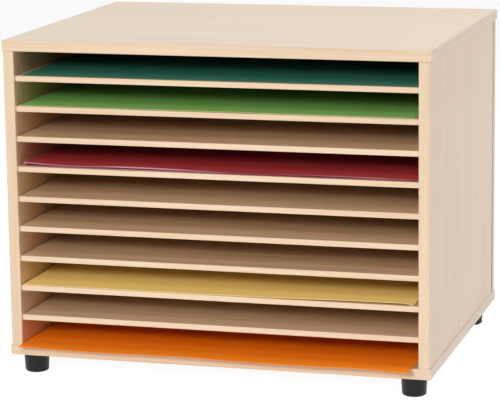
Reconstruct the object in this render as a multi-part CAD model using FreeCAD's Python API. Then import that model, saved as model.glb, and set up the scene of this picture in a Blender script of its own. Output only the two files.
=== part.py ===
import FreeCAD, Part
import math
import os
from collections import namedtuple

from FreeCAD import Vector

# Paper storage cabinet: a low, free-standing carcass of melamine-faced board with ten open
# compartments for large flat sheets, on four moulded feet. The sheets it holds are pieces too.
# Millimetres, +Z up, the open front faces -Y. The origin is on the floor, in the middle of the
# footprint, the sheets that stick out at the front included.

# Sheets of coloured card, whose size sets the cabinet's
SHEET_WIDTH = 700.0
SHEET_DEPTH = 500.0
SHEET_SIDE_ROOM = 12.0  # clear width that a compartment has over a sheet's
SHEET_DEPTH_ROOM = 81.0  # clear depth that a compartment has over a sheet's
SHEET_REST = 0.3  # between a pile and its shelf
SHEET_OVERHANG = 25.0  # how far the lowest pile sticks out at the front
CURL_DEPTH = 190.0  # how far back the lift of a front edge reaches

# Boards
BOARD = 19.0  # top, bottom, side and back panels
SHELF_BOARD = 10.0
COMPARTMENTS = 10
COMPARTMENT_HEIGHT = 43.0  # clear height between two shelves
CARCASS_WIDTH = SHEET_WIDTH + SHEET_SIDE_ROOM + 2 * BOARD  # over the side panels' outer faces
CARCASS_DEPTH = SHEET_DEPTH + SHEET_DEPTH_ROOM + BOARD  # from the front edges to the back face
BACK_GAP = 8.0  # open shadow joint between the side panels and the back panel

# Edge bands, glued on every edge that shows
BAND = 2.0
BAND_ARRIS = 1.6  # rounding of a band's outer arrises
SHELF_BAND_ARRIS = 1.4

# Shelves, slid from behind into stopped housings in the side panels
HOUSING_DEPTH = 6.0
HOUSING_PLAY = 1.0  # height above the shelf in its housing
HOUSING_STOP = 16.0  # from the front edge of the side panel to the round end of a housing
SHELF_SETBACK = 7.0  # from the front edge of the side panel to the front edge of a shelf
SHELF_CORNER_PLAY = 0.3  # between a shelf's front corner and the side panel's face
SHELF_END_PLAY = 0.3  # between a shelf's end and the bottom of its housing
SHELF_NOTCH_PLAY = 1.0  # between the straight part of a housing and the shelf's shoulder
SHELF_BACK_PLAY = 0.3  # between a shelf's back edge and the back panel

# Loose tongues, glued into grooves along the joints of the carcass
TONGUE_THICKNESS = 4.0
TONGUE_WIDTH = 20.0  # half of it in each board
TONGUE_STOP = 25.0  # from the end of a joint under the top or on the bottom to its tongue
BACK_TONGUE_STOP = 5.0  # from the end of a joint in front of the back panel to its tongue
GROOVE_PLAY = 0.1  # between a tongue's flat face and its groove, on each side
GROOVE_SPARE = 0.5  # between a tongue's edges and its groove

# Feet
FOOT_HEIGHT = 35.0
FOOT_TOP_RADIUS = 22.5
FOOT_BOTTOM_RADIUS = 21.0
FOOT_EDGE_ROUND = 4.0  # of the sole's edge, moulded as two bevels
FOOT_WALL = 3.0
FOOT_SOLE = 5.0  # thickness of the closed underside
FOOT_BOSS_RADIUS = 9.0
FOOT_RIB = 2.0
FOOT_RIBS = 6
FOOT_SIDE_INSET = 33.0  # from the side panel's outer face to a foot's centre
FOOT_FRONT_INSET = 33.0
FOOT_BACK_INSET = 58.0

# Foot screws, driven up through the feet into the bottom panel
SCREW_RADIUS = 2.2
SCREW_HEAD_RADIUS = 4.6
SCREW_HEAD_HEIGHT = 3.0
SCREW_RECESS_LENGTH = 4.6  # of the cross in the head
SCREW_RECESS_WIDTH = 0.9
SCREW_RECESS_DEPTH = 1.6
SCREW_IN_BOARD = 14.0
SCREW_POINT = 3.0
SCREW_SEAT_HEIGHT = 18.0  # of the shoulder in the foot that carries the screw's head
SCREW_HOLE_PLAY = 0.3
SCREW_WELL_PLAY = 1.2  # round the head, for the driver
PILOT_PLAY = 0.1
PILOT_SPARE = 1.0

# A pile lies in a compartment, counted from the top. left_gap is from the left side panel,
# setback from the cabinet's front, turn is in degrees as seen from above. lifts are the heights
# of the front edge at even steps from left to right. flat_under is the thickness of a flat pile
# below it, and ear is the width and depth of a corner folded away at the front edge's right end.
FIELDS = "name compartment thickness left_gap setback turn lifts flat_under ear"
Pile = namedtuple("Pile", FIELDS, defaults=(0.0, None))
PILES = [
    Pile(name="paper_dark_green", compartment=1, thickness=1.0, left_gap=11.0, setback=10.0,
         turn=0.0, lifts=(0.0, 0.2, 0.0, 0.1, 0.3, 0.1, 0.0)),
    Pile(name="paper_green", compartment=2, thickness=1.0, left_gap=4.0, setback=9.0,
         turn=0.05, lifts=(0.2, 0.0, 0.2, 0.4, 0.2, 0.0, 0.2)),
    Pile(name="paper_red", compartment=4, thickness=1.2, left_gap=8.5, setback=11.0,
         turn=0.0, lifts=(4.5, 1.1, 2.8, 2.4, 0.3, 0.2, 1.6, 1.2, 0.2),
         flat_under=1.2),
    Pile(name="paper_yellow", compartment=8, thickness=1.0, left_gap=2.0, setback=8.0,
         turn=0.0, lifts=(0.0, 0.1, 0.0, 0.3, 1.2, 2.2, 0.6), ear=(8.0, 20.0)),
    Pile(name="paper_orange", compartment=10, thickness=1.0, left_gap=0.7, setback=-SHEET_OVERHANG,
         turn=-0.9, lifts=(1.2, 0.6, 0.2, 1.6, 2.4, 1.2, 0.8, 1.6, 2.6, 0.6)),
]

# Places that follow from the sizes
SHELVES = COMPARTMENTS - 1
INNER_HEIGHT = COMPARTMENTS * COMPARTMENT_HEIGHT + SHELVES * SHELF_BOARD
FLOOR_TOP = FOOT_HEIGHT + BOARD  # upper face of the bottom panel
CEILING = FLOOR_TOP + INNER_HEIGHT  # underside of the top panel
HALF_OUTER = CARCASS_WIDTH / 2
HALF_INNER = HALF_OUTER - BOARD
HALF_TOP = HALF_OUTER + BAND  # the top and bottom panels stand proud by their end bands
REACH = max(SHEET_WIDTH * math.sin(math.radians(max(0.0, -p.turn))) - p.setback for p in PILES)
FRONT = (REACH - CARCASS_DEPTH) / 2
BACK = FRONT + CARCASS_DEPTH
BACK_PANEL_FRONT = BACK - BOARD
SIDE_BACK = BACK_PANEL_FRONT - BACK_GAP  # rear edge of the side panels
X, Y, Z = Vector(1, 0, 0), Vector(0, 1, 0), Vector(0, 0, 1)


def save(name, solids):
    """Writes one node: a single solid, or a group of separate ones."""
    shape = solids[0] if len(solids) == 1 else Part.makeCompound(solids)
    shape.exportStep(os.path.join("parts", name + ".step"))


def block(x0, x1, y0, y1, z0, z1):
    return Part.makeBox(x1 - x0, y1 - y0, z1 - z0, Vector(x0, y0, z0))


def mirrored(shape):
    """The same piece for the other side of the cabinet."""
    return shape.mirror(Vector(0, 0, 0), X)


def shelf_underside(number):
    """Height of the underside of a shelf, counted from the top."""
    return CEILING - number * (COMPARTMENT_HEIGHT + SHELF_BOARD)


def spread(first, last, count):
    """Places from first to last at even steps."""
    return [first + (last - first) * i / (count - 1) for i in range(count)]


def rounded_by(radius):
    """How far in from both sides of a corner the middle of its rounding lies."""
    return radius * (1 - math.sqrt(0.5))


# Tongues and grooves

def over_joint(edge, other_edge):
    """From edge to edge of a tongue that joins two boards' edges, half of its width in each."""
    return edge - TONGUE_WIDTH / 2, other_edge + TONGUE_WIDTH / 2


def along_joint(start, end, stop):
    """From end to end of a tongue, stopped short of both ends of its joint."""
    return start + stop, end - stop


# The left side's three tongues: the middle of the thickness, then the reach in Y and in Z. The one
# at the back lies outside the housings and bridges the shadow joint.
SIDE_JOINT = along_joint(FRONT, SIDE_BACK, TONGUE_STOP)
TONGUES = {
    "top": (BOARD / 2 - HALF_OUTER, SIDE_JOINT, over_joint(CEILING, CEILING)),
    "bottom": (BOARD / 2 - HALF_OUTER, SIDE_JOINT, over_joint(FLOOR_TOP, FLOOR_TOP)),
    "back": ((BOARD - HOUSING_DEPTH) / 2 - HALF_OUTER, over_joint(SIDE_BACK, BACK_PANEL_FRONT),
             along_joint(FLOOR_TOP, CEILING, BACK_TONGUE_STOP)),
}


def tongue(joint, play=0.0, spare=0.0):
    """The tongue of a joint, or with play and spare room its groove."""
    middle, (front, back), (low, high) = TONGUES[joint]
    half = TONGUE_THICKNESS / 2 + play
    return block(middle - half, middle + half, front - spare, back + spare, low - spare, high + spare)


def grooved(board, *joints):
    """The board with the grooves of its joints, on both sides of the cabinet."""
    grooves = [tongue(joint, GROOVE_PLAY, GROOVE_SPARE) for joint in joints]
    return board.cut(grooves + [mirrored(groove) for groove in grooves])


# Edge bands

def edge_band(corner, along, across, outward, length, width, arris):
    """A glued strip, flat against the board and rounded on its two outer arrises."""
    def at(side, height):
        return corner + across * side + outward * height

    bend = rounded_by(arris)
    low = BAND - arris
    outline = [
        Part.LineSegment(at(0, 0), at(width, 0)),
        Part.LineSegment(at(width, 0), at(width, low)),
        Part.Arc(at(width, low), at(width - bend, BAND - bend), at(width - arris, BAND)),
        Part.LineSegment(at(width - arris, BAND), at(arris, BAND)),
        Part.Arc(at(arris, BAND), at(bend, BAND - bend), at(0, low)),
        Part.LineSegment(at(0, low), at(0, 0)),
    ]
    face = Part.Face(Part.Wire([segment.toShape() for segment in outline]))
    return face.extrude(along * length)


def panel_bands(underside):
    """The four strips round the top or bottom panel, their rounded arrises mitred at the corners."""
    slab = block(-HALF_TOP, HALF_TOP, FRONT, BACK, underside, underside + BOARD)
    rim = [e for e in slab.Edges if e.BoundBox.ZLength < BAND]
    slab = slab.makeFillet(BAND_ARRIS, rim)
    ring = slab.cut(panel_core(underside))
    low, high = underside - BOARD, underside + 2 * BOARD
    pieces = {
        "front": block(-2 * HALF_TOP, 2 * HALF_TOP, FRONT - BAND, FRONT + BAND, low, high),
        "back": block(-2 * HALF_TOP, 2 * HALF_TOP, BACK - BAND, BACK + BAND, low, high),
        "left": block(-2 * HALF_TOP, -HALF_OUTER, FRONT + BAND, BACK - BAND, low, high),
        "right": block(HALF_OUTER, 2 * HALF_TOP, FRONT + BAND, BACK - BAND, low, high),
    }
    return {edge: ring.common(cutter).Solids[0] for edge, cutter in pieces.items()}


def side_band_front():
    return edge_band(Vector(-HALF_OUTER, FRONT + BAND, FLOOR_TOP), Z, X, -Y,
                     INNER_HEIGHT, BOARD, BAND_ARRIS)


def side_band_back():
    """The rear strip of the left side panel, rounded outside and routed through by the housings."""
    strip = block(-HALF_OUTER, -HALF_INNER, SIDE_BACK - BAND, SIDE_BACK, FLOOR_TOP, CEILING)
    arris = [e for e in strip.Edges if e.CenterOfMass.x < BAND / 4 - HALF_OUTER
             and e.CenterOfMass.y > SIDE_BACK - BAND / 4]
    strip = strip.makeFillet(BAND_ARRIS, arris)
    return grooved(strip.cut(housings()), "back")


def back_band():
    """The strip on the left end of the back panel."""
    return edge_band(Vector(BAND - HALF_OUTER, BACK_PANEL_FRONT, FLOOR_TOP), Z, Y, -X,
                     INNER_HEIGHT, BOARD, BAND_ARRIS)


def shelf_band(number):
    width = 2 * (HALF_INNER - SHELF_CORNER_PLAY)
    corner = Vector(-width / 2, FRONT + SHELF_SETBACK + BAND, shelf_underside(number))
    return edge_band(corner, X, Z, -Y, width, SHELF_BOARD, SHELF_BAND_ARRIS)


# Carcass panels

def panel_core(underside):
    """The board of the top or bottom panel, inside its edge bands."""
    return block(-HALF_OUTER, HALF_OUTER, FRONT + BAND, BACK - BAND, underside, underside + BOARD)


def top_panel():
    return grooved(panel_core(CEILING), "top")


def bottom_panel():
    board = grooved(panel_core(FOOT_HEIGHT), "bottom")
    depth = SCREW_IN_BOARD + PILOT_SPARE
    pilots = [Part.makeCylinder(SCREW_RADIUS + PILOT_PLAY, depth, Vector(x, y, FOOT_HEIGHT), Z)
              for x, y in foot_places()]
    return board.cut(pilots)


def housings():
    """What the router takes out of the left side panel: nine stopped housings with round ends."""
    height = SHELF_BOARD + HOUSING_PLAY
    radius = height / 2
    wall = -HALF_INNER
    cuts = []
    for number in range(1, SHELVES + 1):
        low = shelf_underside(number)
        end = FRONT + HOUSING_STOP + radius
        run = block(wall - HOUSING_DEPTH, wall + BAND, end, SIDE_BACK + BAND, low, low + height)
        tip = Part.makeCylinder(radius, HOUSING_DEPTH + BAND,
                                Vector(wall - HOUSING_DEPTH, end, low + radius), X)
        cuts.append(run.fuse(tip).removeSplitter())
    return cuts


def side_panel():
    """The left side panel. The right one is its mirror image."""
    board = block(-HALF_OUTER, -HALF_INNER, FRONT + BAND, SIDE_BACK - BAND, FLOOR_TOP, CEILING)
    return grooved(board.cut(housings()), "top", "bottom", "back")


def back_panel():
    half = HALF_OUTER - BAND
    board = block(-half, half, BACK_PANEL_FRONT, BACK, FLOOR_TOP, CEILING)
    return grooved(board, "back")


def shelf(number):
    """A shelf with its front corners notched, so that the housings' ends don't show."""
    low = shelf_underside(number)
    housed = HALF_INNER + HOUSING_DEPTH - SHELF_END_PLAY
    body = HALF_INNER - SHELF_CORNER_PLAY
    front = FRONT + SHELF_SETBACK + BAND
    shoulder = FRONT + HOUSING_STOP + (SHELF_BOARD + HOUSING_PLAY) / 2 + SHELF_NOTCH_PLAY
    back = BACK_PANEL_FRONT - SHELF_BACK_PLAY
    outline = [(-body, front), (body, front), (body, shoulder), (housed, shoulder),
               (housed, back), (-housed, back), (-housed, shoulder), (-body, shoulder)]
    corners = [Vector(x, y, low) for x, y in outline]
    return Part.Face(Part.makePolygon(corners + corners[:1])).extrude(Z * SHELF_BOARD)


# Feet and their screws

def foot_places():
    """The centres of the four feet."""
    across = HALF_OUTER - FOOT_SIDE_INSET
    rows = FRONT + FOOT_FRONT_INSET, BACK - FOOT_BACK_INSET
    return [(side * across, y) for y in rows for side in (-1, 1)]


def revolved(points, place):
    """A solid turned round the upright axis at a place, from an outline of radii and heights."""
    corners = [Vector(radius, 0, height) for radius, height in points]
    face = Part.Face(Part.makePolygon(corners + corners[:1]))
    solid = face.revolve(Vector(0, 0, 0), Z, 360)
    return solid.translated(Vector(place[0], place[1], 0))


def foot(place):
    """A moulded foot: a tapered cup with a closed sole, ribs inside and a boss for its screw."""
    x, y = place
    bend = rounded_by(FOOT_EDGE_ROUND)
    outer = revolved([
        (0, 0),
        (FOOT_BOTTOM_RADIUS - FOOT_EDGE_ROUND, 0),
        (FOOT_BOTTOM_RADIUS - bend, bend),
        (FOOT_BOTTOM_RADIUS, FOOT_EDGE_ROUND),
        (FOOT_TOP_RADIUS, FOOT_HEIGHT),
        (0, FOOT_HEIGHT),
    ], place)

    taper = (FOOT_TOP_RADIUS - FOOT_BOTTOM_RADIUS) / FOOT_HEIGHT
    sole_radius = FOOT_BOTTOM_RADIUS + taper * FOOT_SOLE - FOOT_WALL
    hollow = Part.makeCone(sole_radius, FOOT_TOP_RADIUS - FOOT_WALL, FOOT_HEIGHT - FOOT_SOLE,
                           Vector(x, y, FOOT_SOLE), Z)
    boss = Part.makeCylinder(FOOT_BOSS_RADIUS, FOOT_HEIGHT, Vector(x, y, 0), Z)
    rib_length = FOOT_TOP_RADIUS - FOOT_WALL / 2
    ribs = []
    for i in range(FOOT_RIBS):
        rib = block(0, rib_length, -FOOT_RIB / 2, FOOT_RIB / 2, 0, FOOT_HEIGHT)
        rib.rotate(Vector(0, 0, 0), Z, 360 * (i + 0.5) / FOOT_RIBS)
        rib.translate(Vector(x, y, 0))
        ribs.append(rib)
    cup = outer.cut(hollow.cut([boss] + ribs))

    well = Part.makeCylinder(SCREW_HEAD_RADIUS + SCREW_WELL_PLAY, SCREW_SEAT_HEIGHT, Vector(x, y, 0), Z)
    hole = Part.makeCylinder(SCREW_RADIUS + SCREW_HOLE_PLAY, FOOT_HEIGHT, Vector(x, y, 0), Z)
    return cup.cut([well, hole]).Solids[0]


def foot_screw(place):
    """A wood screw with a cross recess, from its seat in the foot up into the board."""
    x, y = place
    tip = FOOT_HEIGHT + SCREW_IN_BOARD
    head = SCREW_SEAT_HEIGHT - SCREW_HEAD_HEIGHT
    screw = revolved([
        (0, head),
        (SCREW_HEAD_RADIUS, head),
        (SCREW_HEAD_RADIUS, SCREW_SEAT_HEIGHT),
        (SCREW_RADIUS, SCREW_SEAT_HEIGHT),
        (SCREW_RADIUS, tip - SCREW_POINT),
        (0, tip),
    ], place)
    long, short = SCREW_RECESS_LENGTH / 2, SCREW_RECESS_WIDTH / 2
    return screw.cut([block(x - a, x + a, y - b, y + b, head, head + SCREW_RECESS_DEPTH)
                      for a, b in ((long, short), (short, long))])


# Sheets

def strip_outline(y, fade, low, thickness, lifts):
    """The section of a sheet across the cabinet: parallel curves, closed at both ends."""
    steps = spread(0, SHEET_WIDTH, len(lifts))
    under = [Vector(x, y, low + lift * fade) for x, lift in zip(steps, lifts)]
    over = [point + Z * thickness for point in under]
    lower, upper = Part.BSplineCurve(), Part.BSplineCurve()
    lower.interpolate(under)
    upper.interpolate(over)
    return Part.Wire([
        lower.toShape(),
        Part.LineSegment(under[-1], over[-1]).toShape(),
        upper.toShape(),
        Part.LineSegment(over[0], under[0]).toShape(),
    ])


def curled_pile(low, thickness, lifts):
    """Sheets whose front edge lifts in waves that die out towards the back."""
    sections = []
    for y in (0.0, CURL_DEPTH / 4, CURL_DEPTH / 2, CURL_DEPTH, SHEET_DEPTH):
        fade = max(0.0, 1 - y / CURL_DEPTH) ** 2
        sections.append(strip_outline(y, fade, low, thickness, lifts))
    return Part.makeLoft(sections, True, False)


def folded_corner(width, depth):
    """The corner that is folded away at the right of the front edge."""
    corners = [Vector(SHEET_WIDTH - width, 0, -BOARD), Vector(SHEET_WIDTH + width, -depth, -BOARD),
               Vector(SHEET_WIDTH + width, depth, -BOARD), Vector(SHEET_WIDTH, depth, -BOARD)]
    return Part.Face(Part.makePolygon(corners + corners[:1])).extrude(Z * 2 * BOARD)


def pile(spec):
    """One pile of sheets where it lies, as one solid or as a flat pile with curled sheets on it."""
    low = spec.flat_under + SHEET_REST if spec.flat_under else 0.0
    solids = [curled_pile(low, spec.thickness, spec.lifts)]
    if spec.flat_under:
        solids.append(block(0, SHEET_WIDTH, 0, SHEET_DEPTH, 0, spec.flat_under))
    if spec.ear:
        solids = [solid.cut(folded_corner(*spec.ear)) for solid in solids]
    shelf_top = shelf_underside(spec.compartment) + SHELF_BOARD
    place = Vector(spec.left_gap - HALF_INNER, FRONT + spec.setback, shelf_top + SHEET_REST)
    for solid in solids:
        solid.rotate(Vector(0, 0, 0), Z, spec.turn)
        solid.translate(place)
    return solids


def main():
    os.makedirs("parts", exist_ok=True)
    save("top_panel", [top_panel()])
    save("bottom_panel", [bottom_panel()])
    side = side_panel()
    save("side_panel_left", [side])
    save("side_panel_right", [mirrored(side)])
    save("back_panel", [back_panel()])
    for number in range(1, SHELVES + 1):
        save("shelf_%d" % number, [shelf(number)])
        save("shelf_band_%d" % number, [shelf_band(number)])
    for panel, underside in (("top", CEILING), ("bottom", FOOT_HEIGHT)):
        for edge, strip in panel_bands(underside).items():
            save("%s_band_%s" % (panel, edge), [strip])
    for name, strip in (("side_band_front", side_band_front()), ("side_band_back", side_band_back()),
                        ("back_band", back_band())):
        save(name + "_left", [strip])
        save(name + "_right", [mirrored(strip)])
    save("feet", [foot(place) for place in foot_places()])
    save("foot_screws", [foot_screw(place) for place in foot_places()])
    for joint in TONGUES:
        save("tongue_%s_left" % joint, [tongue(joint)])
        save("tongue_%s_right" % joint, [mirrored(tongue(joint))])
    for spec in PILES:
        save(spec.name, pile(spec))


main()
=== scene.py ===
import math
import random
from collections import namedtuple

import bpy
from mathutils import Matrix, Vector


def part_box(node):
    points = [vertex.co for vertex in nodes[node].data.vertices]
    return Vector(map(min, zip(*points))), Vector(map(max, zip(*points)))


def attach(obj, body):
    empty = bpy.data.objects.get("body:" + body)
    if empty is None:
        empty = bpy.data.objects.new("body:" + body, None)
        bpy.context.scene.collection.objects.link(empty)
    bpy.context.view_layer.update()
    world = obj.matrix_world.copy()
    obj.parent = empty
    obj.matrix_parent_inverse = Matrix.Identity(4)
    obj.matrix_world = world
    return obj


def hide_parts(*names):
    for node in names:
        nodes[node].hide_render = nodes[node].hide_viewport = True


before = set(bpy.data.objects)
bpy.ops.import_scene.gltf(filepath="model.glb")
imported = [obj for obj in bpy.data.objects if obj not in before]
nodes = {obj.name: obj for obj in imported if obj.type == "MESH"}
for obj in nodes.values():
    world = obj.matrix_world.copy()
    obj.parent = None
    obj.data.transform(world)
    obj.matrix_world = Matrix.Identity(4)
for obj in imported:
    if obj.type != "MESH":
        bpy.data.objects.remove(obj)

# The paper storage cabinet as it looks: maple melamine boards with peach edge bands, moulded feet,
# and sheets of coloured card in five of its ten compartments. Lengths are in metres unless a comment
# says otherwise.

MM = 0.001
X, Y, Z = 0, 1, 2
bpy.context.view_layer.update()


# Node trees

CRISP_ANGLE = math.radians(30)  # faces that meet at more than this keep a crisp edge


class Value:
    """What a node gives. Where it is a number, each operator on it adds a Math node."""

    def __init__(self, tree, socket):
        self.tree = tree
        self.socket = socket

    def _math(self, operation, *terms):
        return self.tree.node("ShaderNodeMath", {"operation": operation}, dict(enumerate(terms)))

    def __add__(self, other):
        return self._math("ADD", self, other)

    def __sub__(self, other):
        return self._math("SUBTRACT", self, other)

    def __rsub__(self, other):
        return self._math("SUBTRACT", other, self)

    def __mul__(self, other):
        return self._math("MULTIPLY", self, other)

    def __truediv__(self, other):
        return self._math("DIVIDE", self, other)

    def __pow__(self, other):
        return self._math("POWER", self, other)

    def __abs__(self):
        return self._math("ABSOLUTE", self)

    def __gt__(self, other):
        return self._math("GREATER_THAN", self, other)

    __radd__ = __add__
    __rmul__ = __mul__

    def at_least(self, other):
        return self._math("MAXIMUM", self, other)

    def back_and_forth(self, limit):
        """Rises from 0 to the limit, falls back, and so on."""
        return self._math("PINGPONG", self, limit)


class Tree:
    """A tree of nodes, to which one method adds any node."""

    def __init__(self, tree):
        self.tree = tree
        tree.nodes.clear()

    def node(self, kind, settings=None, sockets=None, output=0):
        """Adds a node with its settings, then fills its sockets with values or links."""
        made = self.tree.nodes.new(kind)
        for key, setting in (settings or {}).items():
            if key == "stops":
                self.set_stops(made.color_ramp, setting)
            else:
                setattr(made, key, setting)
        for key, content in (sockets or {}).items():
            if isinstance(content, Value):
                self.tree.links.new(content.socket, made.inputs[key])
            else:
                made.inputs[key].default_value = content
        return Value(self, made.outputs[output]) if made.outputs else None

    def set_stops(self, ramp, stops):
        """Gives a ramp its stops, each a position and a colour."""
        while len(ramp.elements) < len(stops):
            ramp.elements.new(1.0)
        for element, (position, colour) in zip(ramp.elements, stops):
            element.position = position
            element.color = colour

    def vector(self, x, y, z):
        return self.node("ShaderNodeCombineXYZ", {}, {"X": x, "Y": y, "Z": z})

    def parts_of(self, vector):
        """The three numbers of a vector."""
        first = self.node("ShaderNodeSeparateXYZ", {}, {"Vector": vector})
        return [Value(self, socket) for socket in first.socket.node.outputs]

    def smoothed(self, mesh):
        """The mesh with smooth faces and crisp edges."""
        faces = self.node("GeometryNodeSetShadeSmooth", {"domain": "FACE"}, {"Geometry": mesh})
        angle = self.node("GeometryNodeInputMeshEdgeAngle")
        return self.node("GeometryNodeSetShadeSmooth", {"domain": "EDGE"}, {
            "Geometry": faces, "Shade Smooth": 1 - (angle > CRISP_ANGLE)})


class Finish(Tree):
    """A material, worked out from where a point lies on its piece."""

    def __init__(self, name):
        self.material = bpy.data.materials.new(name)
        self.material.use_nodes = True
        super().__init__(self.material.node_tree)
        self.place = self.node("ShaderNodeTexCoord", output="Object")

    def stretched(self, along, across, axis):
        """The place on the piece, with a pattern's repeats a metre along and across the grain."""
        scale = [along if i == axis else across for i in range(3)]
        return self.node("ShaderNodeMapping", {}, {"Vector": self.place, "Scale": scale})

    def noise(self, vector, scale=1.0, detail=3.0, distortion=0.0):
        return self.node("ShaderNodeTexNoise", {}, {
            "Vector": vector, "Scale": scale, "Detail": detail, "Distortion": distortion})

    def ramp(self, value, *stops):
        return self.node("ShaderNodeValToRGB", {"stops": stops}, {"Fac": value})

    def mask(self, value, start, end):
        """0 below start, 1 above end, and even in between."""
        return self.node("ShaderNodeMapRange", {"clamp": True},
                         {"Value": value, "From Min": start, "From Max": end})

    def mix(self, factor, first, second):
        """Two colours mixed; the sockets go by number, because the node has four pairs of them."""
        return self.node("ShaderNodeMix", {"data_type": "RGBA"}, {0: factor, 6: first, 7: second},
                         output=2)

    def bump(self, height, depth):
        return self.node("ShaderNodeBump", {}, {"Height": height, "Distance": depth})

    def surface(self, **sockets):
        """Ends the material in its shader, whose sockets are given with _ for a space."""
        named = {key.replace("_", " "): content for key, content in sockets.items()}
        shader = self.node("ShaderNodeBsdfPrincipled", {}, named)
        self.node("ShaderNodeOutputMaterial", {}, {"Surface": shader})
        return self.material


def tone(red, green, blue):
    """A colour from the three numbers of a paint chart, 0 to 255."""
    def linear(part):
        part /= 255
        return part / 12.92 if part <= 0.04045 else ((part + 0.055) / 1.055) ** 2.4

    return linear(red), linear(green), linear(blue), 1.0


# Finishes of the boards

MAPLE = tone(230, 203, 168), tone(225, 195, 158), tone(216, 183, 144)
SHELF_MAPLE = tone(243, 216, 181), tone(232, 202, 165), tone(215, 182, 142)
SIDE_MAPLE = tone(237, 204, 167), tone(232, 196, 157), tone(224, 184, 143)
PEACH = tone(231, 206, 177), tone(225, 198, 168), tone(217, 187, 155)
SHELF_PEACH = tone(234, 209, 180), tone(229, 202, 171), tone(222, 192, 158)


def chipboard(finish):
    """The raw core of a board: pressed chips of several browns."""
    cells = finish.node("ShaderNodeTexVoronoi", {}, {"Vector": finish.place, "Scale": 520.0},
                        output="Color")
    chip = finish.parts_of(cells)[0]
    dust = finish.noise(finish.place, 2600.0)
    return finish.ramp(chip * 0.8 + dust * 0.2, (0.15, tone(132, 98, 64)),
                       (0.5, tone(186, 150, 108)), (0.85, tone(214, 184, 142)))


def melamine(name, grain, face, light, middle, dark, streaks_per_metre=90.0, streak_share=0.3):
    """Maple decor on the two faces of a board that look along one axis; its cut edges are raw.

    streak_share is how much of the figure its streaks make up, beside its flow and its fibres.
    """
    finish = Finish(name)
    flow = finish.noise(finish.stretched(1.1, 7.0, grain), detail=2.0, distortion=0.4)
    streaks = finish.noise(finish.stretched(2.4, streaks_per_metre, grain), detail=4.0,
                           distortion=0.5)
    fibres = finish.noise(finish.stretched(11.0, 480.0, grain), detail=3.0)
    figure = streaks * streak_share + (flow + fibres) * ((1 - streak_share) / 2)
    decor = finish.ramp(figure, (0.3, light), (0.5, middle), (0.7, dark))
    pores = finish.mask(finish.noise(finish.stretched(42.0, 1500.0, grain), detail=1.0), 0.64, 0.72)
    decor = finish.mix(pores * 0.16, decor, tone(172, 136, 100))
    normal = finish.node("ShaderNodeTexCoord", output="Normal")
    on_face = abs(finish.parts_of(normal)[face]) > 0.5
    pearl = finish.noise(finish.place, 1500.0, detail=2.0)
    relief = pearl * 0.6 + fibres * 0.4 - pores * 0.5
    return finish.surface(
        Base_Color=finish.mix(on_face, chipboard(finish), decor),
        Roughness=0.34 + 0.12 * streaks + 0.35 * (1 - on_face),
        Coat_Weight=0.6 * on_face,
        Coat_Roughness=0.25,
        Normal=finish.bump(relief, 0.04 * MM),
    )


def banding(name, grain, light, middle, dark):
    """Peach plastic edge band, printed with fine streaks that run along the strip."""
    finish = Finish(name)
    flow = finish.noise(finish.stretched(1.6, 18.0, grain), detail=2.0)
    streaks = finish.noise(finish.stretched(5.0, 420.0, grain), detail=4.0, distortion=0.3)
    scraper_marks = finish.noise(finish.stretched(160.0, 12.0, grain), detail=1.0)
    return finish.surface(
        Base_Color=finish.ramp(flow * 0.4 + streaks * 0.6, (0.34, light), (0.5, middle), (0.66, dark)),
        Roughness=0.3 + 0.14 * streaks,
        Coat_Weight=0.5,
        Coat_Roughness=0.25,
        Normal=finish.bump(streaks * 0.5 + scraper_marks * 0.5, 0.03 * MM),
    )


# Finishes of the hardware

SCUFF_HEIGHT = 20 * MM  # over which the scuffs on a foot die out
PLY = 1.35 * MM  # thickness of a ply in a tongue


def foot_plastic():
    """Black moulded plastic with a spark-eroded grain, scuffed grey near the floor."""
    finish = Finish("moulded_plastic")
    grain = finish.noise(finish.place, 1800.0, detail=4.0)
    height = finish.parts_of(finish.place)[Z]
    scuff = finish.mask(finish.noise(finish.place, 160.0) - height / SCUFF_HEIGHT, 0.3, 0.6)
    colour = finish.ramp(grain, (0.3, tone(14, 14, 15)), (0.7, tone(30, 30, 32)))
    return finish.surface(
        Base_Color=finish.mix(scuff * 0.2, colour, tone(70, 69, 68)),
        Roughness=0.3 + 0.2 * grain + 0.2 * scuff,
        Specular_IOR_Level=0.3,
        Normal=finish.bump(grain, 0.06 * MM),
    )


def screw_steel():
    """Zinc-plated steel with turning marks."""
    finish = Finish("zinc_plated_steel")
    turning = finish.noise(finish.stretched(2400.0, 60.0, Z))
    blotch = finish.noise(finish.place, 260.0)
    return finish.surface(
        Base_Color=finish.ramp(blotch, (0.35, tone(176, 178, 182)), (0.65, tone(206, 207, 208))),
        Metallic=1.0,
        Roughness=0.22 + 0.2 * turning,
        Normal=finish.bump(turning, 0.03 * MM),
    )


def plywood():
    """Plywood of three plies for the loose tongues, darkened brown as painted shade in the open joint
    at the back.
    """
    finish = Finish("stained_plywood")
    across = finish.parts_of(finish.place)[X]
    ply = (across / (2 * PLY)).back_and_forth(0.5)
    fibres = finish.noise(finish.stretched(14.0, 420.0, Y), detail=4.0)
    # these browns are darkened to paint the shade of the open joint where the tongues show
    light = finish.ramp(fibres, (0.3, tone(122, 88, 58)), (0.7, tone(98, 68, 44)))
    return finish.surface(
        Base_Color=finish.mix(finish.mask(ply, 0.2, 0.3) * 0.6, light, tone(70, 48, 32)),
        Roughness=0.55 + 0.15 * fibres,
        Normal=finish.bump(fibres, 0.05 * MM),
    )


# Finishes of the card

CARD_WIDTH = 0.7
CARD_DEPTH = 0.5
CARD_THICKNESS = 0.3 * MM


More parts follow.
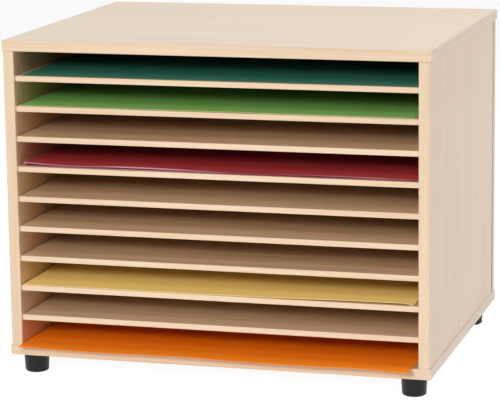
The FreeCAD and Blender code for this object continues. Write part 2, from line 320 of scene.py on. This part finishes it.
def card(name, pale, deep, nap):
    """Dyed card: a cloudy, fibrous sheet with a matt face. nap is the share of raised fibres."""
    finish = Finish(name)
    clouds = finish.noise(finish.place, 36.0, detail=3.0)
    fibres = finish.noise(finish.place, 900.0, detail=4.0, distortion=1.2)
    return finish.surface(
        Base_Color=finish.ramp(clouds * 0.4 + fibres * 0.6, (0.3, deep), (0.7, pale)),
        Roughness=0.55 + 0.2 * fibres,
        Sheen_Weight=nap,
        Sheen_Tint=pale,
        Sheen_Roughness=0.5,
        Normal=finish.bump(fibres, 0.03 * MM),
    )


def cut_edge(name, pale, deep, rubbed):
    """The cut edge of dyed card, with the sheet's layers in it, mixed from a painted highlight (pale)
    and a painted shade (deep).

    rubbed gives how much of the painted highlight it takes, at even steps from left to right over a
    sheet's width.
    """
    finish = Finish(name)
    layers = finish.noise(finish.stretched(7000.0, 60.0, Z), detail=2.0)
    across = finish.parts_of(finish.place)[X] / CARD_WIDTH + 0.5
    stops = [(i / (len(rubbed) - 1), (share, share, share, 1.0)) for i, share in enumerate(rubbed)]
    # share of the painted highlight along the edge; the rest is the painted shade
    highlight_share = finish.parts_of(finish.ramp(across, *stops))[0]
    return finish.surface(
        # pale is a painted highlight and deep a painted shade on the cut edge
        Base_Color=finish.mix(highlight_share + (layers - 0.5) * 0.6, deep, pale),
        Roughness=0.7 + 0.2 * layers,
        Normal=finish.bump(layers, 0.03 * MM),
    )


# Pieces that keep the solid model's shapes

SHELVES = 9


def paint(names, material):
    for name in names:
        mesh = nodes[name].data
        mesh.materials.clear()
        mesh.materials.append(material)


def shelves(stem):
    """The names that one stem makes with the shelves' numbers."""
    return [stem + str(number) for number in range(1, SHELVES + 1)]


def each_with(stems, ends):
    """Every name that one of the stems makes with one of the ends."""
    return [stem + end for stem in stems for end in ends]


def dress_cabinet():
    sides = ("left", "right")
    paint(["top_panel", "bottom_panel"], melamine("melamine_level", X, Z, *MAPLE))
    paint(shelves("shelf_"), melamine("melamine_shelf", X, Z, *SHELF_MAPLE,
                                      streaks_per_metre=55.0, streak_share=0.75))
    paint(each_with(["side_panel_"], sides), melamine("melamine_upright", Z, X, *SIDE_MAPLE))
    paint(["back_panel"], melamine("melamine_back", X, Y, *MAPLE))
    level_bands = ("top_band_", "bottom_band_")
    paint(each_with(level_bands, ("front", "back")), banding("band_level", X, *PEACH))
    paint(shelves("shelf_band_"), banding("band_shelf", X, *SHELF_PEACH))
    paint(each_with(level_bands, sides), banding("band_end", Y, *PEACH))
    paint(each_with(("side_band_front_", "side_band_back_", "back_band_"), sides),
          banding("band_upright", Z, *PEACH))
    paint(["foot_screws"], screw_steel())
    # the tongues' dark brown is painted shade for the open joint at the back
    paint(each_with(("tongue_top_", "tongue_bottom_", "tongue_back_"), sides), plywood())


# Pieces made by a rule

def new_rule(name, kinds):
    """A tree of geometry nodes with its named inputs, their sockets and their values."""
    group = bpy.data.node_groups.new(name, "GeometryNodeTree")
    sockets = {key: group.interface.new_socket(name=key, in_out="INPUT", socket_type=kind)
               for key, kind in kinds.items()}
    group.interface.new_socket(name="Piece", in_out="OUTPUT", socket_type="NodeSocketGeometry")
    tree = Tree(group)
    given = tree.node("NodeGroupInput").socket.node.outputs
    return tree, sockets, {key: Value(tree, given[key]) for key in kinds}


def made_by(tree, sockets, base, name, **inputs):
    """The plain mesh that a tree makes of a base, with the tree's inputs given by name."""
    source = bpy.data.objects.new(name + "_source", base)
    bpy.context.scene.collection.objects.link(source)
    modifier = source.modifiers.new("rule", "NODES")
    modifier.node_group = tree.tree
    for key, content in inputs.items():
        modifier[sockets[key.replace("_", " ")].identifier] = content
    bpy.context.view_layer.update()
    evaluated = source.evaluated_get(bpy.context.evaluated_depsgraph_get())
    mesh = bpy.data.meshes.new_from_object(evaluated)
    mesh.materials.pop(index=0)  # the base's empty slot
    source.modifiers.remove(modifier)
    bpy.data.objects.remove(source)
    piece = bpy.data.objects.new(name, mesh)
    mesh.name = name
    bpy.context.scene.collection.objects.link(piece)
    return piece


def joined(tree, first, second):
    """Two meshes in one, through the one socket that takes several links."""
    join = tree.node("GeometryNodeJoinGeometry", {}, {"Geometry": first})
    tree.tree.links.new(second.socket, join.socket.node.inputs[0])
    return join


# Feet

FOOT_HEIGHT = 35 * MM
FOOT_TOP_RADIUS = 22.5 * MM
FOOT_BOTTOM_RADIUS = 21 * MM
FOOT_EDGE_ROUND = 5 * MM
FOOT_EDGE_STEPS = 8  # straight steps in the rounding of the sole's edge
FOOT_WALL = 3 * MM
FOOT_SOLE = 5 * MM
FOOT_BOSS_RADIUS = 9 * MM
FOOT_RIBS = 6
RIB_THICKNESS = 2 * MM
RIB_IN_BOSS = 0.5 * MM  # how far a rib reaches into the boss
SCREW_WELL_RADIUS = 5.8 * MM
SCREW_HOLE_RADIUS = 2.5 * MM
SCREW_SEAT_HEIGHT = 18 * MM
RING_RADIUS = 12 * MM  # of the circle that a foot's section is swept round
RING_FACETS = 72


def foot_section():
    """Half of a foot cut through its axis, as radii and heights: cup, sole, boss and screw well."""
    section = [(SCREW_WELL_RADIUS, 0.0)]
    for step in range(FOOT_EDGE_STEPS + 1):
        angle = math.pi / 2 * step / FOOT_EDGE_STEPS
        section.append((FOOT_BOTTOM_RADIUS - FOOT_EDGE_ROUND * (1 - math.sin(angle)),
                        FOOT_EDGE_ROUND * (1 - math.cos(angle))))
    return section + [
        (FOOT_TOP_RADIUS, FOOT_HEIGHT),
        (FOOT_TOP_RADIUS - FOOT_WALL, FOOT_HEIGHT),
        (FOOT_BOTTOM_RADIUS - FOOT_WALL, FOOT_SOLE),
        (FOOT_BOSS_RADIUS, FOOT_SOLE),
        (FOOT_BOSS_RADIUS, FOOT_HEIGHT),
        (SCREW_HOLE_RADIUS, FOOT_HEIGHT),
        (SCREW_HOLE_RADIUS, SCREW_SEAT_HEIGHT),
        (SCREW_WELL_RADIUS, SCREW_SEAT_HEIGHT),
    ]


def foot_profile():
    """The section as a closed curve, placed for a sweep round the ring."""
    outline = bpy.data.curves.new("foot_section", "CURVE")
    outline.dimensions = "3D"
    spline = outline.splines.new("POLY")
    section = foot_section()
    spline.points.add(len(section) - 1)
    for point, (radius, height) in zip(spline.points, reversed(section)):
        point.co = (radius - RING_RADIUS, -height, 0.0, 1.0)
    spline.use_cyclic_u = True
    return bpy.data.objects.new("foot_section", outline)


def foot_tree():
    """The rule of the feet: a section swept round a ring, with ribs, repeated at every place."""
    tree, sockets, size = new_rule("moulded_feet", {
        "Places": "NodeSocketGeometry",
        "Section": "NodeSocketObject",
        "Ring Radius": "NodeSocketFloat",
        "Ring Facets": "NodeSocketInt",
        "Ribs": "NodeSocketInt",
        "Rib Middle": "NodeSocketFloat",
        "Rib Size": "NodeSocketVector",
        "Rib Bottom": "NodeSocketFloat",
        "Material": "NodeSocketMaterial",
    })
    ring = tree.node("GeometryNodeCurvePrimitiveCircle", {}, {
        "Resolution": size["Ring Facets"], "Radius": size["Ring Radius"]})
    section = tree.node("GeometryNodeObjectInfo", {}, {"Object": size["Section"]}, output="Geometry")
    cup = tree.node("GeometryNodeCurveToMesh", {}, {"Curve": ring, "Profile Curve": section})
    spots = tree.node("GeometryNodeMeshCircle", {}, {
        "Vertices": size["Ribs"], "Radius": size["Rib Middle"]})
    facing = tree.node("FunctionNodeAlignEulerToVector", {"axis": "X"},
                       {"Vector": tree.node("GeometryNodeInputPosition")})
    rib = tree.node("GeometryNodeMeshCube", {}, {"Size": size["Rib Size"]})
    rib_height = tree.parts_of(size["Rib Size"])[Z]
    raised = tree.node("GeometryNodeTransform", {}, {
        "Geometry": rib, "Translation": tree.vector(0.0, 0.0, rib_height / 2 + size["Rib Bottom"])})
    ribs = tree.node("GeometryNodeInstanceOnPoints", {}, {
        "Points": spots, "Instance": raised, "Rotation": facing})
    foot = joined(tree, tree.smoothed(cup), ribs)
    feet = tree.node("GeometryNodeInstanceOnPoints", {}, {"Points": size["Places"], "Instance": foot})
    whole = tree.node("GeometryNodeRealizeInstances", {}, {"Geometry": feet})
    moulded = tree.node("GeometryNodeSetMaterial", {}, {
        "Geometry": whole, "Material": size["Material"]})
    tree.node("NodeGroupOutput", {}, {0: moulded})
    return tree, sockets


def mould_feet():
    """The four feet, at the middles of the solid model's."""
    low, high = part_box("feet")
    places = [(x, y, 0.0) for x in (low.x + FOOT_TOP_RADIUS, high.x - FOOT_TOP_RADIUS)
              for y in (low.y + FOOT_TOP_RADIUS, high.y - FOOT_TOP_RADIUS)]
    base = bpy.data.meshes.new("foot_places")
    base.from_pydata(places, [], [])
    profile = foot_profile()
    tree, sockets = foot_tree()
    inner = FOOT_BOSS_RADIUS - RIB_IN_BOSS
    outer = FOOT_TOP_RADIUS - FOOT_WALL / 2
    bottom = FOOT_SOLE / 2
    feet = made_by(tree, sockets, base, "moulded_feet",
                   Section=profile, Ring_Radius=RING_RADIUS, Ring_Facets=RING_FACETS,
                   Ribs=FOOT_RIBS, Rib_Middle=(inner + outer) / 2,
                   Rib_Size=(outer - inner, RIB_THICKNESS, FOOT_HEIGHT - bottom),
                   Rib_Bottom=bottom, Material=foot_plastic())
    bpy.data.objects.remove(profile)
    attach(feet, "cabinet")
    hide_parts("feet")


# Sheets of card

CURL_DEPTH = 0.19  # how far back the lift of a front edge reaches
ROW_CROWDING = 1.6  # the rows of a sheet's mesh lie closer together towards its front edge
SHEET_COLUMNS = 141
SHEET_ROWS = 41
FRONT_EDGE_STEPS = 24  # in each stretch of the curve between two lifts
WELD = 1e-6  # distance under which two corners of a mesh are one
SIDE_SCATTER = 0.4  # millimetres that a sheet may lie off its pile, to either side
BACK_SCATTER = 1.2  # and to the back
SCATTER_SEED = 11

# A stack is the sheets of a pile, from the lowest up. Each has its level in millimetres and the
# share of the pile's lifts that it follows.
CLOSE = ((0.0, 1.0), (0.34, 1.0), (0.68, 1.0))
FANNED = ((0.0, 0.0), (0.36, 0.0), (0.72, 0.0), (1.1, 0.78), (1.46, 0.84), (1.82, 0.9), (2.18, 0.95),
          (2.54, 1.0))
EVENLY = (0.5, 0.5)
FLAT_CORNER = (0.01, 0.01, 0.0)

# A pile lies on a board. lifts are the heights of its front edge in millimetres, at even steps from
# left to right. face is the card's two tones; edge is its cut edge's pale and deep tone, a painted
# highlight and a painted shade that stand for the light and shade along the edge. nap is the share
# of raised fibres on its face, and rubbed tells how much of the painted highlight its cut
# edge takes. turn is in degrees as seen from above. ear is the width, depth and drop of a corner
# bent down at the front edge's right end.
FIELDS = "colour board lifts face edge nap turn stack ear rubbed"
Pile = namedtuple("Pile", FIELDS, defaults=(0.0, CLOSE, FLAT_CORNER, EVENLY))
PILES = [
    Pile(colour="dark_green", board="shelf_1", lifts=(0.0, 0.2, 0.0, 0.1, 0.3, 0.1, 0.0),
         face=(tone(60, 134, 116), tone(46, 116, 100)),
         edge=(tone(104, 128, 96), tone(76, 100, 72)), nap=0.1),
    Pile(colour="green", board="shelf_2", lifts=(0.2, 0.0, 0.2, 0.4, 0.2, 0.0, 0.2),
         face=(tone(147, 206, 118), tone(131, 191, 102)),
         edge=(tone(228, 226, 166), tone(204, 208, 142)), nap=0.02, turn=0.05),
    # the red cut edge is painted pale pink as a highlight where the sheets lift, and dark red as
    # painted shade between them
    Pile(colour="red", board="shelf_4", lifts=(4.5, 1.1, 2.8, 2.4, 0.3, 0.2, 1.6, 1.2, 0.2),
         face=(tone(190, 66, 72), tone(177, 56, 64)),
         edge=(tone(238, 176, 186), tone(122, 40, 48)), nap=0.02, stack=FANNED,
         rubbed=(0.8, 0.5, 0.4, 1.0, 1.0, 0.5, 0.15, 0.1, 0.15, 0.3, 0.45, 0.1)),
    Pile(colour="yellow", board="shelf_8", lifts=(0.0, 0.1, 0.0, 0.3, 1.2, 2.8, 3.6),
         face=(tone(255, 231, 146), tone(253, 223, 131)),
         edge=(tone(252, 228, 168), tone(244, 212, 140)), nap=0.35, ear=(0.014, 0.06, 0.0034)),
    Pile(colour="orange", board="bottom_panel",
         lifts=(1.2, 0.6, 0.2, 1.6, 2.4, 1.2, 0.8, 1.6, 2.6, 0.6),
         face=(tone(255, 145, 22), tone(253, 135, 13)),
         edge=(tone(250, 176, 104), tone(240, 150, 76)), nap=0.12, turn=-0.9),
]


def card_tree():
    """The rule of a laid sheet: its front edge follows a curve, and the lift dies out behind it."""
    tree, sockets, size = new_rule("laid_card", {
        "Front Edge": "NodeSocketGeometry",
        "Width": "NodeSocketFloat",
        "Depth": "NodeSocketFloat",
        "Thickness": "NodeSocketFloat",
        "Curl Depth": "NodeSocketFloat",
        "Rise": "NodeSocketFloat",
        "Level": "NodeSocketFloat",
        "Ear": "NodeSocketVector",
        "Columns": "NodeSocketInt",
        "Rows": "NodeSocketInt",
        "Place": "NodeSocketVector",
        "Turn": "NodeSocketVector",
        "Face": "NodeSocketMaterial",
        "Cut Edge": "NodeSocketMaterial",
    })
    grid = tree.node("GeometryNodeMeshGrid", {}, {
        "Size X": 1.0, "Size Y": 1.0, "Vertices X": size["Columns"], "Vertices Y": size["Rows"]})
    across, back, _ = tree.parts_of(tree.node("GeometryNodeInputPosition"))
    across = across + 0.5
    behind = (back + 0.5) ** ROW_CROWDING * size["Depth"]
    fade = (1 - behind / size["Curl Depth"]).at_least(0.0) ** 2
    edge = tree.node("GeometryNodeSampleCurve", {"mode": "FACTOR"},
                     {"Curves": size["Front Edge"], "Factor": across}, output="Position")
    ear_width, ear_depth, ear_drop = tree.parts_of(size["Ear"])
    past_fold = (1 - (1 - across) * size["Width"] / ear_width - behind / ear_depth).at_least(0.0)
    height = (tree.parts_of(edge)[Z] * size["Rise"] * fade + size["Level"]
              - past_fold * ear_drop * size["Rise"])
    laid = tree.node("GeometryNodeSetPosition", {}, {
        "Geometry": grid, "Position": tree.vector(across * size["Width"], behind, height)})
    thick = tree.node("GeometryNodeExtrudeMesh", {"mode": "FACES"}, {
        "Mesh": laid, "Offset": tree.vector(0.0, 0.0, size["Thickness"]), "Offset Scale": 1.0,
        "Individual": False})
    under = tree.node("GeometryNodeFlipFaces", {}, {"Mesh": laid})
    closed = tree.node("GeometryNodeMergeByDistance", {}, {
        "Geometry": joined(tree, thick, under), "Distance": WELD})
    turned = tree.node("GeometryNodeTransform", {}, {
        "Geometry": tree.smoothed(closed), "Translation": size["Place"], "Rotation": size["Turn"]})
    whole = tree.node("GeometryNodeRealizeInstances", {}, {"Geometry": turned})
    faced = tree.node("GeometryNodeSetMaterial", {}, {"Geometry": whole, "Material": size["Face"]})
    upright = 1 - (abs(tree.parts_of(tree.node("GeometryNodeInputNormal"))[Z]) > 0.5)
    edged = tree.node("GeometryNodeSetMaterial", {}, {
        "Geometry": faced, "Selection": upright, "Material": size["Cut Edge"]})
    tree.node("NodeGroupOutput", {}, {0: edged})
    return tree, sockets


def front_edge(name, lifts):
    """A curve from left to right along a sheet's front edge, through its lifts."""
    curve = bpy.data.curves.new(name, "CURVE")
    curve.dimensions = "3D"
    spline = curve.splines.new("BEZIER")
    spline.bezier_points.add(len(lifts) - 1)
    for i, (point, lift) in enumerate(zip(spline.bezier_points, lifts)):
        point.co = (CARD_WIDTH * i / (len(lifts) - 1), 0.0, lift * MM)
        point.handle_left_type = point.handle_right_type = "AUTO"
    spline.resolution_u = FRONT_EDGE_STEPS
    return curve


def lay_sheets():
    """Every sheet of every pile, on its board, where the solid model has the pile."""
    tree, sockets = card_tree()
    chance = random.Random(SCATTER_SEED)
    for pile in PILES:
        node = "paper_" + pile.colour
        face = card("dyed_card_" + pile.colour, *pile.face, pile.nap)
        edge = cut_edge("cut_edge_" + pile.colour, *pile.edge, pile.rubbed)
        low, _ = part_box(node)
        turn = math.radians(pile.turn)
        # the front left corner of a turned sheet that fills the pile's box
        corner = Vector((low.x + max(0.0, CARD_DEPTH * math.sin(turn)),
                         low.y - min(0.0, CARD_WIDTH * math.sin(turn)), low.z))
        curve = front_edge(node + "_front", pile.lifts)
        for i, (level, rise) in enumerate(pile.stack):
            scatter = Vector((chance.uniform(-SIDE_SCATTER, SIDE_SCATTER),
                              chance.uniform(0.0, BACK_SCATTER), 0.0)) * MM
            sheet = made_by(tree, sockets, curve, "%s_sheet_%d" % (pile.colour, i + 1),
                            Width=CARD_WIDTH, Depth=CARD_DEPTH, Thickness=CARD_THICKNESS,
                            Curl_Depth=CURL_DEPTH, Rise=rise, Level=level * MM, Ear=pile.ear,
                            Columns=SHEET_COLUMNS, Rows=SHEET_ROWS, Place=corner + scatter,
                            Turn=(0.0, 0.0, turn), Face=face, Cut_Edge=edge)
            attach(sheet, pile.colour + "_sheets")
            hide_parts(node)


# Studio

WHITE = (1.0, 1.0, 1.0, 1.0)
BACKDROP_GLOW = 1.0
ROOM_LIGHT = 0.02  # what the backdrop sends onto the cabinet
FLOOR_PAINT = (0.86, 0.86, 0.86, 1.0)
FLOOR_GLOW = 1.17
FLOOR_GLOW_SHARE = 0.8  # the rest is paint, which shows the cabinet's shadow
FLOOR_REACH = 30.0  # from the floor's middle to its edges

PHOTO_WIDTH = 500  # pixels
FOCAL_LENGTH = 2381.84  # in pixels of the photo
SENSOR_WIDTH = 36.0  # millimetres
CAMERA_PLACE = (1.1692, -4.0775, 1.1136)
CAMERA_TURNS = (16.217, 11.204, -0.741)  # yaw, pitch and roll in degrees
CAMERA_REACH = 100.0


def seen_directly(tree):
    """1 for rays from the camera, and for those that a shiny or a clear surface sends on."""
    path = tree.node("ShaderNodeLightPath").socket.node.outputs
    camera, glossy, through = (Value(tree, path[name]) for name in
                               ("Is Camera Ray", "Is Glossy Ray", "Is Transmission Ray"))
    return camera.at_least(glossy).at_least(through)


def make_world():
    """A backdrop that looks white and adds next to no light."""
    world = bpy.data.worlds.new("studio")
    bpy.context.scene.world = world
    world.use_nodes = True
    tree = Tree(world.node_tree)
    light = tree.node("ShaderNodeBackground", {}, {"Color": WHITE, "Strength": ROOM_LIGHT})
    backdrop = tree.node("ShaderNodeBackground", {}, {"Color": WHITE, "Strength": BACKDROP_GLOW})
    both = tree.node("ShaderNodeMixShader", {}, {0: seen_directly(tree), 1: light, 2: backdrop})
    tree.node("ShaderNodeOutputWorld", {}, {"Surface": both})


def make_floor():
    """A plain pale floor that looks white, and keeps the cabinet's shadow."""
    finish = Finish("floor")
    paint_coat = finish.node("ShaderNodeBsdfDiffuse", {}, {"Color": FLOOR_PAINT})
    glow = finish.node("ShaderNodeEmission", {}, {"Color": WHITE, "Strength": FLOOR_GLOW})
    both = finish.node("ShaderNodeMixShader", {}, {
        0: seen_directly(finish) * FLOOR_GLOW_SHARE, 1: paint_coat, 2: glow})
    finish.node("ShaderNodeOutputMaterial", {}, {"Surface": both})
    mesh = bpy.data.meshes.new("floor")
    reach = FLOOR_REACH
    mesh.from_pydata([(-reach, -reach, 0), (reach, -reach, 0), (reach, reach, 0), (-reach, reach, 0)],
                     [], [(0, 1, 2, 3)])
    mesh.materials.append(finish.material)
    floor = bpy.data.objects.new("floor", mesh)
    bpy.context.scene.collection.objects.link(floor)


def make_lamp(name, place, target, width, power, height=None, mirrored=True):
    """A lamp that faces its target, square unless its height is given.

    One that would burn out a shiny board in a view from another side isn't mirrored in it.
    """
    lamp = bpy.data.lights.new(name, "AREA")
    lamp.shape = "RECTANGLE"
    lamp.size = width
    lamp.size_y = height or width
    lamp.energy = power
    holder = bpy.data.objects.new(name, lamp)
    bpy.context.scene.collection.objects.link(holder)
    holder.location = place
    holder.visible_camera = False
    holder.visible_glossy = mirrored
    holder.rotation_euler = (Vector(target) - Vector(place)).to_track_quat("-Z", "Y").to_euler()


def make_lamps():
    """Soft light from the front that fades inside the compartments, and fill from the other sides."""
    front = (0.0, -0.28, 0.33)
    low_front = (0.0, -0.28, 0.05)
    make_lamp("front_softbox", (-0.35, -4.5, 1.82), front, 0.66, 111.0, mirrored=False)
    make_lamp("low_strip_light", (0.0, -0.75, 0.05), low_front, 0.9, 0.45, height=0.05, mirrored=False)
    make_lamp("raised_softbox", (0.4, -2.7, 2.3), front, 1.0, 22.0)
    make_lamp("right_softbox", (1.9, -0.2, 2.1), (0.4, 0.0, 0.5), 1.0, 21.0)
    make_lamp("back_softbox", (1.2, 2.6, 2.3), (0.0, 0.3, 0.3), 1.8, 34.0, mirrored=False)
    make_lamp("left_softbox", (-2.2, 0.2, 2.4), (-0.4, 0.0, 0.4), 1.6, 21.0, mirrored=False)


def make_camera():
    """From a little right of the middle and above, as the cabinet was photographed."""
    data = bpy.data.cameras.new("camera")
    data.sensor_width = SENSOR_WIDTH
    data.lens = FOCAL_LENGTH / PHOTO_WIDTH * SENSOR_WIDTH
    data.clip_end = CAMERA_REACH
    camera = bpy.data.objects.new("camera", data)
    bpy.context.scene.collection.objects.link(camera)
    yaw, pitch, roll = (math.radians(angle) for angle in CAMERA_TURNS)
    camera.matrix_world = (Matrix.Translation(CAMERA_PLACE)
                           @ Matrix.Rotation(yaw, 4, "Z")
                           @ Matrix.Rotation(math.pi / 2 - pitch, 4, "X")
                           @ Matrix.Rotation(roll, 4, "Z"))
    bpy.context.scene.camera = camera


dress_cabinet()
mould_feet()
lay_sheets()
make_world()
make_floor()
make_lamps()
make_camera()
bpy.context.scene.view_settings.view_transform = "Standard"
